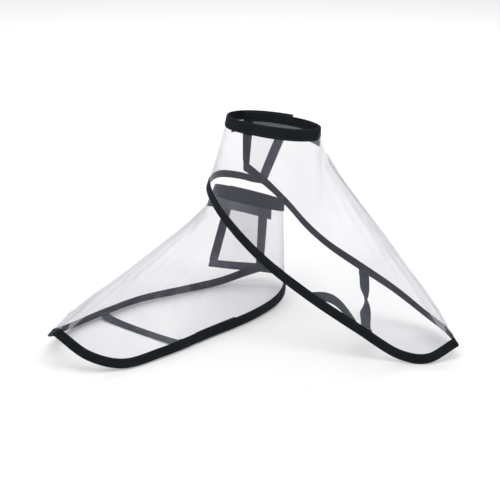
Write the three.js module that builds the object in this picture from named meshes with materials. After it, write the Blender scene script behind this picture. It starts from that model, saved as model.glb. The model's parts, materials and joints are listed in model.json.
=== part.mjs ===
// A pair of clear vinyl covers for figure-skate boots, standing as a pair: the left cover on its sole
// edge, the right cover pitched forward on its toe with its heel over the left cover's collar.
// Millimetres, +Z up, floor at z = 0. Each cover is drawn in its own frame first: +X to the toe,
// +Z up, the side whose rear end laps round the heel towards +Y, the sole edge near z = 0.
import * as THREE from "three";

// ---- driving dimensions ------------------------------------------------------------------------
const COVER_LENGTH = 300; // toe tip to heel along the sole
const TOE_SPRING = 30; // how far the toe tip curls up
const COLLAR_HEIGHT = 118; // sole edge to the middle of the collar's rim
const COLLAR_HALF_LENGTH = 46.5; // ankle opening, front to back
const COLLAR_HALF_WIDTH = 14.5; // ankle opening, side to side, as it rests empty
const SHEET = 0.6; // vinyl sheet
const TAPE = 0.8; // one layer of woven binding tape
const CLEARANCE = 0.3; // between faces that touch on the real object
const SOLE_BINDING_WIDTH = 8.5; // visible height of the folded tape round the sole edge
const BACK_BINDING_WIDTH = 8.5; // the same on the upright rear edges
const COLLAR_BINDING_WIDTH = 11; // the same round the ankle opening
const SEAM_WIDTH = 8; // each leg of the vinyl strip over the front seam
const SEAM_CORNER = 20; // length of front seam that each panel's toe corner takes up
const SEAM_PARTING = 1.2; // between the two panels under the seam strip
const LAP_GAP = 4.5; // between the two sheets where the rear ends lap at the collar
const HINGE_PARTING = 1.0; // gap on the line where the lapping end bends open
const LAPPING_COLLAR_END = 282; // how far the lapping side runs round the collar, degrees from its front
const LAPPED_COLLAR_END = 145; // the same for the lapped side, which ends inside
const HINGE_COLLAR_ANGLE = 150; // where the bending line of the lapping end meets the collar
const COLLAR_FRONT_REACH = 0.13; // share of the half length, behind the middle, that faces the collar's front
const SEAM_TOE_PULL = [117, 64]; // the seam leaves the toe towards a point this far back and up
const SEAM_COLLAR_PULL = 42; // and leaves the collar straight down its tilt for this far
const FASTENER_HEIGHT = 15; // hook tape and loop tape, below the collar binding
const HOOK_LENGTH = 48; // on the inside of the lapping end
const LOOP_LENGTH = 76; // on the outside of the lapped side
const FASTENER_THICKNESS = 1.0;
const FASTENER_INSET = 1.0; // from the binding of the rear edge
const STRAP_WIDTH = 11; // elastic webbing under the sole
const STRAP_THICKNESS = 1.2;
const STRAP_EDGE_RADIUS = 8; // tightest bend of the sole edge that a strap's flat end is sewn to
const LOOP_CENTRE = 4.6; // height of the side loop's middle above the sole edge, where it lies flat
const BULGE = 5; // how far the sides belly out between sole and seam

// Each cover is soft and has set a little differently, so its outline is its own. The points run from
// the toe tip: x is a share of half the cover's length, y is mm to the side, z is mm of lift.
const LEFT_SHAPE = {
  lappingSide: [
    [1, 0, TOE_SPRING],
    [0.905, 33, 12],
    [0.72, 53, 1],
    [0.4, 58.5, 0],
    [0, 55.5, 0],
    [-0.4, 53, 0],
    [-0.69, 43, 1],
    [-0.845, 29, 3.5],
    [-0.98, 0, 7],
    [-0.89, -24, 9],
    [-0.75, -40, 12],
    [-0.6, -58, 16],
  ],
  lappedSide: [
    [1, 0, TOE_SPRING],
    [0.905, -33, 12],
    [0.7, -52, 1],
    [0.333, -58.5, 0],
    [0.033, -59, 0],
    [-0.27, -48.5, 0],
    [-0.6, -38, 0],
    [-0.76, -31, 4],
    [-0.865, -11, 15],
  ],
  hingeAt: -0.83,
  collarAt: -0.667,
  collarTilt: 23,
  strapAt: { lapping: 0.21, lapped: 0.38, twist: 0 },
  loopAt: { from: 0.11, to: -0.25, rise: 0 },
};
const RIGHT_SHAPE = {
  lappingSide: [
    [1, 0, TOE_SPRING],
    [0.905, 27, 12],
    [0.74, 35.5, 1],
    [0.4, 41.5, 0],
    [0, 46, 0],
    [-0.34, 43.5, 0],
    [-0.63, 32.5, 0],
    [-0.865, 18, 2],
    [-1, 0, 3.5],
    [-1.01, -25, 3],
    [-0.9, -46, 3],
    [-0.805, -57, 3],
    [-0.74, -65, 4],
  ],
  lappedSide: [
    [1, 0, TOE_SPRING],
    [0.905, -31.5, 12],
    [0.73, -48, 1],
    [0.45, -51, 0],
    [0.17, -47.5, 0],
    [-0.1, -45.5, 0],
    [-0.3, -50, 0],
    [-0.5, -58, 2],
    [-0.66, -57, 7],
    [-0.79, -46, 16],
    [-0.885, -33, 25],
  ],
  hingeAt: -0.86,
  collarAt: -0.825,
  collarTilt: 30,
  strapAt: { lapping: 0.48, lapped: 0.22, twist: 180 },
  loopAt: { from: 0.4, to: 0.05, rise: 11 },
};
// How each cover is set down: turns in degrees about the upright (yaw) and about its own length (roll).
// The left one stands on its sole. The right one's heel is put near the front of the left collar's
// rim, this many mm away, and the cover is then pitched forward until its toe meets the floor.
const LEFT_YAW = 220.3;
const RIGHT_YAW = -22;
const RIGHT_ROLL = 7.6;
const RIGHT_HEEL_FROM_RIM = [-11, -14, 1];

// ---- materials ---------------------------------------------------------------------------------
const vinyl = { color: 0xe9ebf2, roughness: 0.12, metalness: 0, transparent: true, opacity: 0.35 };
const wovenTape = { color: 0x17191b, roughness: 0.75, metalness: 0 };
const fastenerTape = { color: 0x8f9596, roughness: 0.9, metalness: 0 };
const elastic = { color: 0x3a434b, roughness: 0.8, metalness: 0 };

// ---- small vector helpers ----------------------------------------------------------------------
const vec = (x, y, z) => new THREE.Vector3(x, y, z);
const along = (from, direction, distance) => from.clone().addScaledVector(direction, distance);
const mix = (a, b, t) => a.clone().lerp(b, t);
const unit = (a, b) => b.clone().sub(a).normalize();
const smooth = (value, from, to) => THREE.MathUtils.smoothstep(value, from, to);

const range = (from, to) => Array.from({ length: Math.max(to - from + 1, 0) }, (_, k) => from + k);

// ---- closed solids from rows of points ---------------------------------------------------------
// Makes one closed mesh and turns its faces outwards if the enclosed volume comes out negative.
function closedMesh(points, triangles) {
  let volume = 0;
  for (const [a, b, c] of triangles) {
    volume += points[a].dot(points[b].clone().cross(points[c]));
  }
  const index = triangles.flatMap(([a, b, c]) => (volume < 0 ? [a, c, b] : [a, b, c]));
  const geometry = new THREE.BufferGeometry();
  geometry.setAttribute(
    "position",
    new THREE.Float32BufferAttribute(points.flatMap((p) => [p.x, p.y, p.z]), 3)
  );
  geometry.setIndex(index);
  geometry.computeVertexNormals();
  return geometry;
}

// Skins a run of equal closed sections and caps both ends; capQuads says how one section is filled.
function sweptSolid(sections, capQuads) {
  const size = sections[0].length;
  const points = sections.flat();
  const triangles = [];
  const quad = (a, b, c, d) => {
    const shorter = points[a].distanceTo(points[c]) <= points[b].distanceTo(points[d]);
    if (shorter) triangles.push([a, b, c], [a, c, d]);
    else triangles.push([b, c, d], [b, d, a]);
  };
  for (let row = 0; row + 1 < sections.length; row += 1) {
    for (let k = 0; k < size; k += 1) {
      const next = (k + 1) % size;
      quad(row * size + k, row * size + next, (row + 1) * size + next, (row + 1) * size + k);
    }
  }
  const last = (sections.length - 1) * size;
  for (const [a, b, c, d] of capQuads) {
    quad(d, c, b, a);
    quad(last + a, last + b, last + c, last + d);
  }
  return closedMesh(points, triangles);
}

// A section of a U fold: an outer leg, the fold over the edge, and an inner leg, with a slot between.
const FOLD_CAP = [[0, 1, 6, 7], [1, 2, 5, 6], [2, 3, 4, 5]];
const FOLD_SLOT = SHEET / 2 + CLEARANCE;
const FOLD_OUTER = FOLD_SLOT + TAPE;
const FOLD_DEPTH = CLEARANCE + TAPE;
function foldSection({ edge, inner, outward, edgeNormal, innerNormal }) {
  return [
    along(inner, innerNormal, FOLD_OUTER),
    along(along(edge, outward, FOLD_DEPTH), edgeNormal, FOLD_OUTER),
    along(along(edge, outward, FOLD_DEPTH), edgeNormal, -FOLD_OUTER),
    along(inner, innerNormal, -FOLD_OUTER),
    along(inner, innerNormal, -FOLD_SLOT),
    along(along(edge, outward, CLEARANCE), edgeNormal, -FOLD_SLOT),
    along(along(edge, outward, CLEARANCE), edgeNormal, FOLD_SLOT),
    along(inner, innerNormal, FOLD_SLOT),
  ];
}

// ---- one side of a cover -----------------------------------------------------------------------
// The side is a ruled sheet. Each ruling runs from the sole edge up to the front seam or, behind it,
// to the collar. side() returns a grid of points and normals: grid[station][row].
const SEAM_STATIONS = 20;
const SIDE_STATIONS = 12;
const LAP_STATIONS = 10;
const INNER_ROWS = 4;

function coverCurves(shape, lapping) {
  const sign = lapping ? 1 : -1;
  const half = COVER_LENGTH / 2;
  const outline = lapping ? shape.lappingSide : shape.lappedSide;
  const sole = new THREE.CatmullRomCurve3(
    outline.map(([x, y, z]) => vec(x * half, y, z)),
    false,
    "centripetal"
  );
  sole.arcLengthDivisions = 600;
  const tilt = THREE.MathUtils.degToRad(shape.collarTilt);
  const collar = (angle) => {
    const turned = THREE.MathUtils.degToRad(angle);
    const lapOut = lapping ? LAP_GAP * smooth(angle, 100, 165) : 0;
    const x = (COLLAR_HALF_LENGTH + lapOut) * Math.cos(turned);
    const y = sign * (COLLAR_HALF_WIDTH + lapOut) * Math.sin(turned);
    return vec(shape.collarAt * half + x * Math.cos(tilt), y, COLLAR_HEIGHT + x * Math.sin(tilt));
  };
  const front = collar(0);
  const toe = vec(half, 0, TOE_SPRING);
  const seam = new THREE.CubicBezierCurve3(
    toe,
    vec(half - SEAM_TOE_PULL[0], 0, TOE_SPRING + SEAM_TOE_PULL[1]),
    vec(front.x + SEAM_COLLAR_PULL * Math.sin(tilt), 0, front.z - SEAM_COLLAR_PULL * Math.cos(tilt)),
    front
  );
  seam.arcLengthDivisions = 400;
  return { sole, seam, collar, sign };
}

// Share of the sole curve's length at which it passes x on its way to the heel.
function soleShareAt(sole, x) {
  let share = 0.3;
  while (sole.getPointAt(share).x > x) share += 0.0005;
  return share;
}

function sideGrid(shape, lapping) {
  const { sole, seam, collar, sign } = coverCurves(shape, lapping);
  const half = COVER_LENGTH / 2;
  const shareFront = soleShareAt(sole, -COLLAR_FRONT_REACH * half);
  const soleLength = sole.getLength();
  const seamStart = SEAM_CORNER / seam.getLength();
  const seamEnd = 1 - COLLAR_BINDING_WIDTH / seam.getLength();
  const stations = [];
  for (let i = 0; i < SEAM_STATIONS; i += 1) {
    const top = seam.getPointAt(THREE.MathUtils.lerp(seamStart, seamEnd, i / (SEAM_STATIONS - 1)));
    stations.push({ bottom: sole.getPointAt((shareFront * i) / SEAM_STATIONS), top });
  }
  const collarEnd = lapping ? LAPPING_COLLAR_END : LAPPED_COLLAR_END;
  const shareHinge = lapping ? soleShareAt(sole, shape.hingeAt * half) : 1;
  const angleHinge = lapping ? HINGE_COLLAR_ANGLE : collarEnd;
  for (let i = 0; i <= SIDE_STATIONS; i += 1) {
    const s = i / SIDE_STATIONS;
    const bottom = sole.getPointAt(THREE.MathUtils.lerp(shareFront, shareHinge, s));
    stations.push({ bottom, top: collar(angleHinge * s) });
  }
  const hingeStation = stations.length - 1;
  if (lapping) {
    for (let i = 1; i <= LAP_STATIONS; i += 1) {
      const s = i / LAP_STATIONS;
      const bottom = sole.getPointAt(THREE.MathUtils.lerp(shareHinge, 1, s));
      stations.push({ bottom, top: collar(THREE.MathUtils.lerp(angleHinge, collarEnd, s)) });
    }
  }
  // One more station a binding's width before the free rear edge, for the upright binding to end on.
  const last = stations.pop();
  const crowds = ({ bottom, top }) => {
    const spacing = Math.min(bottom.distanceTo(last.bottom), top.distanceTo(last.top));
    return spacing < 1.3 * BACK_BINDING_WIDTH;
  };
  while (crowds(stations.at(-1))) stations.pop();
  const before = stations.at(-1);
  const back = (a, b) => along(b, unit(b, a), BACK_BINDING_WIDTH);
  stations.push({ bottom: back(before.bottom, last.bottom), top: back(before.top, last.top) });
  stations.push(last);
  const hinge = lapping ? hingeStation : stations.length - 1;

  // The sheet is trimmed back, in its own surface, from the middle plane, so that the two sides do
  // not touch under the seam strip. Its untrimmed toe, seam and rim front are kept as the ridge.
  const ridge = stations.map((station) => station.top.clone());
  const tip = stations[0].bottom.clone();
  const trimmed = (p, direction) => along(p, direction, SEAM_PARTING / 2 / Math.abs(direction.y));
  const toeEdge = unit(tip, stations[1].bottom);
  stations[0].bottom = trimmed(tip, toeEdge);
  stations[0].top = trimmed(stations[0].top, toeEdge);
  for (const station of stations.slice(1, SEAM_STATIONS)) {
    station.top = trimmed(station.top, unit(station.top, station.bottom));
  }
  const rim = stations[SEAM_STATIONS];
  rim.top = trimmed(rim.top, unit(rim.top, stations[SEAM_STATIONS + 1].top));

  const point = (station, t) => {
    const fade = smooth(station.share, 0, 0.15) * (1 - smooth(station.share, 0.45, 0.62));
    const lift = BULGE * fade * Math.sin(Math.PI * t);
    const outwards = vec(0, sign * 0.8, 0.6);
    return along(mix(station.bottom, station.top, t), outwards, lift);
  };
  let run = 0;
  stations.forEach((station, i) => {
    if (i > 0) run += station.bottom.distanceTo(stations[i - 1].bottom);
    station.share = run / soleLength;
  });

  // Rows that follow the edges of the bindings, which are measured square to the edge they cover.
  const sine = (ruling, edge) => ruling.clone().normalize().cross(edge.clone().normalize()).length();
  stations.forEach((station, i) => {
    const ahead = stations[Math.min(i + 1, stations.length - 1)];
    const behind = stations[Math.max(i - 1, 0)];
    const ruling = station.top.clone().sub(station.bottom);
    const soleEdge = ahead.bottom.clone().sub(behind.bottom);
    const onCollar = i >= SEAM_STATIONS;
    const topEdge = ahead.top.clone().sub(i === SEAM_STATIONS ? station.top : behind.top);
    const width = onCollar ? COLLAR_BINDING_WIDTH : SEAM_WIDTH;
    const low = SOLE_BINDING_WIDTH / sine(ruling, soleEdge) / ruling.length();
    const high = width / Math.max(sine(ruling, topEdge), 0.1) / ruling.length();
    station.low = Math.min(low, 0.55);
    station.high = Math.min(high, 0.9 - station.low);
  });
  const rowsOf = (station) => {
    const rows = [0, station.low];
    const top = 1 - station.high;
    for (let k = 1; k <= INNER_ROWS; k += 1) {
      rows.push(THREE.MathUtils.lerp(station.low, top, k / (INNER_ROWS + 1)));
    }
    rows.push(top, 1);
    return rows;
  };
  const rows = stations.map(rowsOf);
  const points = stations.map((station, i) => rows[i].map((t) => point(station, t)));
  const normals = points.map((row, i) =>
    row.map((_, j) => {
      const ahead = points[Math.min(i + 1, points.length - 1)][j];
      const behind = points[i === SEAM_STATIONS ? i : Math.max(i - 1, 0)][j];
      const above = points[i][Math.min(j + 1, row.length - 1)];
      const below = points[i][Math.max(j - 1, 0)];
      const run = ahead.clone().sub(behind);
      const rise = above.clone().sub(below);
      return rise.cross(run).multiplyScalar(-sign).normalize();
    })
  );
  const low = stations.map((station) => station.low);
  return { points, normals, low, ridge, tip, hinge, sign };
}

// The part of a side between two stations, drawn back from the bending line by half its parting.
function cutGrid(grid, from, to) {
  const points = grid.points.slice(from, to + 1).map((row) => row.map((p) => p.clone()));
  const normals = grid.normals.slice(from, to + 1);
  const drawBack = (edge, next) => {
    points[edge].forEach((p, j) => p.add(unit(p, points[next][j]).multiplyScalar(HINGE_PARTING / 2)));
  };
  if (from > 0) drawBack(0, 1);
  if (to < grid.points.length - 1) drawBack(to - from, to - from - 1);
  return { ...grid, points, normals, hinge: to - from };
}

// A point and its normal at a station that may lie between two, so far up from the sole edge or,
// with underCollar, so far down from the collar binding, measured along the ruling.
function onSheet(grid, station, distance, underCollar = false) {
  const i = Math.min(Math.floor(station), grid.points.length - 2);
  const blend = station - i;
  const column = (k) => {
    const rows = range(0, grid.points[k].length - 1);
    const order = underCollar ? rows.reverse().slice(1) : rows;
    let left = distance;
    for (let r = 0; r + 1 < order.length; r += 1) {
      const [p, q] = [grid.points[k][order[r]], grid.points[k][order[r + 1]]];
      const step = p.distanceTo(q);
      if (left <= step || r + 2 === order.length) {
        const [n, m] = [grid.normals[k][order[r]], grid.normals[k][order[r + 1]]];
        return [mix(p, q, left / step), mix(n, m, left / step)];
      }
      left -= step;
    }
    return null;
  };
  const [p, n] = column(i);
  const [q, m] = column(i + 1);
  return [mix(p, q, blend), mix(n, m, blend).normalize()];
}

// The station, between two whole ones, at which the sole edge passes a given x.
function stationAt(grid, x) {
  const edge = grid.points.map((row) => row[0]);
  let i = 1;
  while (edge[i + 1].x > x) i += 1;
  return i + (edge[i].x - x) / (edge[i].x - edge[i + 1].x);
}

// The station so far ahead of another, towards the toe, measured along the collar's rim.
function stationBefore(grid, station, distance) {
  const rim = grid.points.map((row) => row.at(-1));
  let at = station;
  let left = distance;
  while (left > 0 && at > 0) {
    const i = Math.ceil(at) - 1;
    const spacing = rim[i].distanceTo(rim[i + 1]);
    const step = Math.min(left, (at - i) * spacing);
    at -= step / spacing;
    left -= step;
  }
  return at;
}

// Stations from one place to another, with every whole station between them.
function stationRun(from, to) {
  const whole = range(Math.ceil(from + 0.05), Math.floor(to - 0.05));
  return [from, ...whole, to];
}

// ---- pieces ------------------------------------------------------------------------------------
// A sheet, or a patch on one, between two stations and two rows, from depth inner to depth outer.
function sheetPatch(grid, from, to, rowFrom, rowTo, inner, outer) {
  const sections = [];
  for (let i = from; i <= to; i += 1) {
    const rows = [];
    for (let j = rowFrom; j <= rowTo; j += 1) rows.push([grid.points[i][j], grid.normals[i][j]]);
    const outside = rows.map(([p, n]) => along(p, n, outer));
    const inside = rows.map(([p, n]) => along(p, n, inner)).reverse();
    sections.push([...outside, ...inside]);
  }
  const count = rowTo - rowFrom + 1;
  const cap = [];
  for (let j = 0; j + 1 < count; j += 1) cap.push([j, j + 1, 2 * count - 2 - j, 2 * count - 1 - j]);
  return sweptSolid(sections, cap);
}

// Where the folded tape sits at one station: over the sole edge, or over the collar's rim.
function foldAt(grid, i, atCollar) {
  const row = grid.points[i];
  const rowNormals = grid.normals[i];
  const edgeRow = atCollar ? row.length - 1 : 0;
  const innerRow = atCollar ? row.length - 2 : 1;
  return {
    edge: row[edgeRow],
    inner: row[innerRow],
    outward: unit(row[innerRow], row[edgeRow]),
    edgeNormal: rowNormals[edgeRow],
    innerNormal: rowNormals[innerRow],
  };
}

// The mitre of the two sides' normals on the ridge: moving along it by d moves d off both sheets.
function mitre(lapping, lapped, station, row) {
  const [p, q] = [lapping.normals[station][row], lapped.normals[station][row]];
  const sum = p.clone().add(q).normalize();
  return sum.multiplyScalar(1 / Math.max(sum.dot(p), 0.5));
}

// The fold over the toe tip, and the one over the front of the collar's rim.
function foldOverToe(lapping, lapped) {
  const [tip, corner] = [lapping.tip, lapping.ridge[0]];
  const normal = mitre(lapping, lapped, 0, 0);
  const width = tip.distanceTo(corner) * lapping.low[0];
  return {
    edge: tip,
    inner: along(tip, unit(tip, corner), width),
    outward: unit(corner, tip),
    edgeNormal: normal,
    innerNormal: normal,
  };
}

function foldOverRim(lapping, lapped) {
  const rim = lapping.ridge[SEAM_STATIONS];
  const below = lapping.ridge[SEAM_STATIONS - 1];
  const top = lapping.points[0].length - 1;
  return {
    edge: rim,
    inner: below,
    outward: unit(below, rim),
    edgeNormal: mitre(lapping, lapped, SEAM_STATIONS, top),
    innerNormal: mitre(lapping, lapped, SEAM_STATIONS - 1, top),
  };
}

function movedFold(fold, shift) {
  return { ...fold, edge: fold.edge.clone().add(shift), inner: fold.inner.clone().add(shift) };
}

// A run of folds that ends past the sheet's free edge, to cover the corner.
function pastEnd(grid, i, atCollar) {
  const fold = foldAt(grid, i, atCollar);
  const previous = foldAt(grid, i - 1, atCollar);
  return movedFold(fold, unit(previous.edge, fold.edge).multiplyScalar(FOLD_DEPTH));
}

function foldedTape(folds) {
  return sweptSolid(folds.map(foldSection), FOLD_CAP);
}

// The binding round the sole or the collar: from the lapped side's rear end, through the middle,
// along the lapping side to the bending line.
function mainBinding(lapping, lapped, atCollar) {
  const start = atCollar ? SEAM_STATIONS : 0;
  const end = lapped.points.length - 1;
  const first = atCollar ? start : start + 1;
  const folds = [pastEnd(lapped, end, atCollar)];
  for (const i of range(first, end - 1).reverse()) folds.push(foldAt(lapped, i, atCollar));
  folds.push(atCollar ? foldOverRim(lapping, lapped) : foldOverToe(lapping, lapped));
  for (const i of range(first, lapping.hinge)) folds.push(foldAt(lapping, i, atCollar));
  return foldedTape(folds);
}

function flapBinding(flap, atCollar) {
  const end = flap.points.length - 1;
  const folds = range(0, end - 1).map((i) => foldAt(flap, i, atCollar));
  return foldedTape([...folds, pastEnd(flap, end, atCollar)]);
}

// The upright binding on a free rear edge, between the sole binding and the collar binding.
function backBinding(grid) {
  const end = grid.points.length - 1;
  const rows = range(1, grid.points[0].length - 2);
  const folds = rows.map((j) => ({
    edge: grid.points[end][j],
    inner: grid.points[end - 1][j],
    outward: unit(grid.points[end - 1][j], grid.points[end][j]),
    edgeNormal: grid.normals[end][j],
    innerNormal: grid.normals[end - 1][j],
  }));
  const rise = (a, b) => unit(a.edge, b.edge).multiplyScalar(CLEARANCE + 0.1);
  folds[0] = movedFold(folds[0], rise(folds[0], folds[1]));
  folds.push(movedFold(folds.pop(), rise(folds.at(-1), folds.at(-2))));
  return foldedTape(folds);
}

// The vinyl strip that covers the join of the two sides, one leg on each.
function seamStrip(lapping, lapped) {
  const under = SHEET / 2 + CLEARANCE;
  const over = under + SHEET;
  const sections = range(1, SEAM_STATIONS - 2).map((i) => {
    const top = lapping.points[i].length - 1;
    const leg = (grid, depth) => along(grid.points[i][top - 1], grid.normals[i][top - 1], depth);
    const ridge = (depth) => along(lapping.ridge[i], mitre(lapping, lapped, i, top), depth);
    return [
      ridge(over),
      leg(lapping, over),
      leg(lapping, under),
      ridge(under),
      leg(lapped, under),
      leg(lapped, over),
    ];
  });
  return sweptSolid(sections, [[0, 1, 2, 3], [0, 3, 4, 5]]);
}

// A strip of hook tape or loop tape just under the collar binding, near the free rear edge.
function fastener(grid, face, tapeLength) {
  const near = SHEET / 2 + CLEARANCE * 1.2;
  const depths = [face * near, face * (near + FASTENER_THICKNESS)];
  const rear = stationBefore(grid, grid.points.length - 2, FASTENER_INSET);
  const front = stationBefore(grid, rear, tapeLength);
  const upper = 2 * CLEARANCE;
  const lower = upper + FASTENER_HEIGHT;
  const sections = stationRun(front, rear).map((station) => {
    const at = (distance, depth) => along(...onSheet(grid, station, distance, true), depth);
    return [
      at(upper, depths[0]),
      at(upper, depths[1]),
      at(lower, depths[1]),
      at(lower, depths[0]),
    ];
  });
  return sweptSolid(sections, [[0, 1, 2, 3]]);
}

// Depths of webbing that lies on the inner leg of the sole binding.
const WEBBING_NEAR = FOLD_OUTER + 2 * CLEARANCE;
const WEBBING_FAR = WEBBING_NEAR + STRAP_THICKNESS;

// Elastic webbing across the open sole, under the boot's waist, sewn to both inner legs. It may hang
// with a twist of so many degrees.
function soleStrap(lapping, lapped, shape) {
  const half = COVER_LENGTH / 2;
  const bow = (STRAP_WIDTH / 2) ** 2 / (2 * STRAP_EDGE_RADIUS);
  const depth = -(WEBBING_NEAR + WEBBING_FAR) / 2 - bow;
  const anchor = (grid, share, height) => {
    const station = stationAt(grid, share * half);
    const [low, lowNormal] = onSheet(grid, station, height, false);
    return along(low, lowNormal, depth);
  };
  const edgeAlong = (grid, share) => {
    const station = stationAt(grid, share * half);
    const [a] = onSheet(grid, station - 0.5, 0, false);
    const [b] = onSheet(grid, station + 0.5, 0, false);
    return unit(b, a);
  };
  const { lapping: lappingAt, lapped: lappedAt, twist } = shape.strapAt;
  const sewn = SOLE_BINDING_WIDTH - 1;
  const crossing = STRAP_THICKNESS * 2;
  const path = new THREE.CatmullRomCurve3(
    [
      anchor(lapped, lappedAt, sewn),
      anchor(lapped, lappedAt, (sewn + crossing) / 2),
      mix(anchor(lapped, lappedAt, crossing), anchor(lapping, lappingAt, crossing), 0.06),
      mix(anchor(lapped, lappedAt, crossing), anchor(lapping, lappingAt, crossing), 0.94),
      anchor(lapping, lappingAt, (sewn + crossing) / 2),
      anchor(lapping, lappingAt, sewn),
    ],
    false,
    "centripetal"
  );
  const steps = 26;
  const widthFrom = edgeAlong(lapped, lappedAt);
  const widthTo = edgeAlong(lapping, lappingAt);
  const sections = range(0, steps).map((k) => {
    const t = k / steps;
    const centre = path.getPointAt(t);
    const tangent = path.getTangentAt(t);
    const turn = THREE.MathUtils.degToRad(twist * smooth(t, 0.2, 0.8));
    const across = mix(widthFrom, widthTo, t);
    across.addScaledVector(tangent, -across.dot(tangent)).normalize();
    across.applyAxisAngle(tangent, turn);
    const face = tangent.clone().cross(across);
    const corner = (w, h) => along(along(centre, across, w * STRAP_WIDTH / 2), face, h * STRAP_THICKNESS / 2);
    return [corner(1, 1), corner(-1, 1), corner(-1, -1), corner(1, -1)];
  });
  return sweptSolid(sections, [[0, 1, 2, 3]]);
}

// A loop of the same webbing sewn along the lapping side's inner leg, which may arch up between its ends.
function sideLoop(grid, shape) {
  const half = COVER_LENGTH / 2;
  const { from, to, rise } = shape.loopAt;
  const start = stationAt(grid, from * half);
  const end = stationAt(grid, to * half);
  const sections = stationRun(start, end).map((station) => {
    const s = (station - start) / (end - start);
    const centre = LOOP_CENTRE + rise * Math.sin(Math.PI * s);
    const at = (height, depth) => along(...onSheet(grid, station, height, false), -depth);
    return [
      at(centre + STRAP_WIDTH / 2 - 1, WEBBING_NEAR),
      at(centre + STRAP_WIDTH / 2 - 1, WEBBING_FAR),
      at(centre - STRAP_WIDTH / 2 + 1, WEBBING_FAR),
      at(centre - STRAP_WIDTH / 2 + 1, WEBBING_NEAR),
    ];
  });
  return sweptSolid(sections, [[0, 1, 2, 3]]);
}

// ---- one whole cover ---------------------------------------------------------------------------
function makeCover(prefix, shape, hand) {
  const lappingSide = sideGrid(shape, true);
  const lapped = sideGrid(shape, false);
  const main = cutGrid(lappingSide, 0, lappingSide.hinge);
  const flap = cutGrid(lappingSide, lappingSide.hinge, lappingSide.points.length - 1);
  const topRow = lapped.points[0].length - 1;
  const sheet = (grid) => {
    return sheetPatch(grid, 0, grid.points.length - 1, 0, topRow, -SHEET / 2, SHEET / 2);
  };
  const cover = new THREE.Group();
  const add = (name, geometry, material) => {
    const mesh = new THREE.Mesh(geometry, new THREE.MeshStandardMaterial(material));
    mesh.name = `${prefix}_${name}`;
    cover.add(mesh);
  };
  add("lapping_side_panel", sheet(main), vinyl);
  add("lapping_flap_panel", sheet(flap), vinyl);
  add("lapped_side_panel", sheet(lapped), vinyl);
  add("front_seam_strip", seamStrip(main, lapped), vinyl);
  add("collar_binding", mainBinding(main, lapped, true), wovenTape);
  add("flap_collar_binding", flapBinding(flap, true), wovenTape);
  add("sole_binding", mainBinding(main, lapped, false), wovenTape);
  add("flap_sole_binding", flapBinding(flap, false), wovenTape);
  add("lapped_back_binding", backBinding(lapped), wovenTape);
  add("flap_back_binding", backBinding(flap), wovenTape);
  add("flap_hook_tape", fastener(flap, -1, HOOK_LENGTH), fastenerTape);
  add("loop_tape", fastener(lapped, 1, LOOP_LENGTH), fastenerTape);
  add("sole_strap", soleStrap(main, lapped, shape), elastic);
  add("side_loop", sideLoop(main, shape), elastic);
  if (hand < 0) mirrorAcrossMiddle(cover);
  return cover;
}

// Turns a left-hand cover into a right-hand one: y changes sign, and so does each face's winding.
function mirrorAcrossMiddle(cover) {
  for (const mesh of cover.children) {
    mesh.geometry.scale(1, -1, 1);
    const index = mesh.geometry.index.array;
    for (let k = 0; k < index.length; k += 3) [index[k + 1], index[k + 2]] = [index[k + 2], index[k + 1]];
    mesh.geometry.computeVertexNormals();
  }
}

// ---- the pair ----------------------------------------------------------------------------------
const lowest = (object) => new THREE.Box3().setFromObject(object, true).min.z;

function standOnSole(cover) {
  cover.rotation.set(0, 0, THREE.MathUtils.degToRad(LEFT_YAW), "ZYX");
  cover.position.z -= lowest(cover);
  cover.updateMatrixWorld(true);
}

// Pitches a cover forward about its heel, which is held at a point, until its toe meets the floor.
function leanOnHeel(cover, heel) {
  const heelInCover = vec(-COVER_LENGTH / 2, 0, 0);
  let [low, high] = [0, 60];
  for (let step = 0; step < 24; step += 1) {
    const pitch = (low + high) / 2;
    cover.rotation.set(
      THREE.MathUtils.degToRad(RIGHT_ROLL),
      THREE.MathUtils.degToRad(pitch),
      THREE.MathUtils.degToRad(RIGHT_YAW),
      "ZYX"
    );
    cover.position.copy(heel).sub(heelInCover.clone().applyEuler(cover.rotation));
    if (lowest(cover) > 0) low = pitch;
    else high = pitch;
  }
  cover.updateMatrixWorld(true);
}

const left = makeCover("left", LEFT_SHAPE, 1);
standOnSole(left);
const right = makeCover("right", RIGHT_SHAPE, -1);
const leftRimFront = coverCurves(LEFT_SHAPE, true).collar(0).applyMatrix4(left.matrixWorld);
leanOnHeel(right, leftRimFront.add(vec(...RIGHT_HEEL_FROM_RIM)));

const pair = new THREE.Group();
pair.add(left, right);
const middle = new THREE.Box3().setFromObject(pair, true).getCenter(vec(0, 0, 0));
pair.position.set(-middle.x, -middle.y, 0);
const group = new THREE.Group();
group.add(pair);

export default group;
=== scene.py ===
# %% [markdown]
# # A pair of clear covers for skate boots
# Each cover is two sheets of clear vinyl, joined down the front, whose rear ends lap behind the heel.
# Every edge is wrapped in a folded woven tape. Each surface below is worked out with numpy as a
# function of two parameters, so a sheet and whatever is sewn to it share one formula and always fit.

# %% Load the frame
import json
import math

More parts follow.
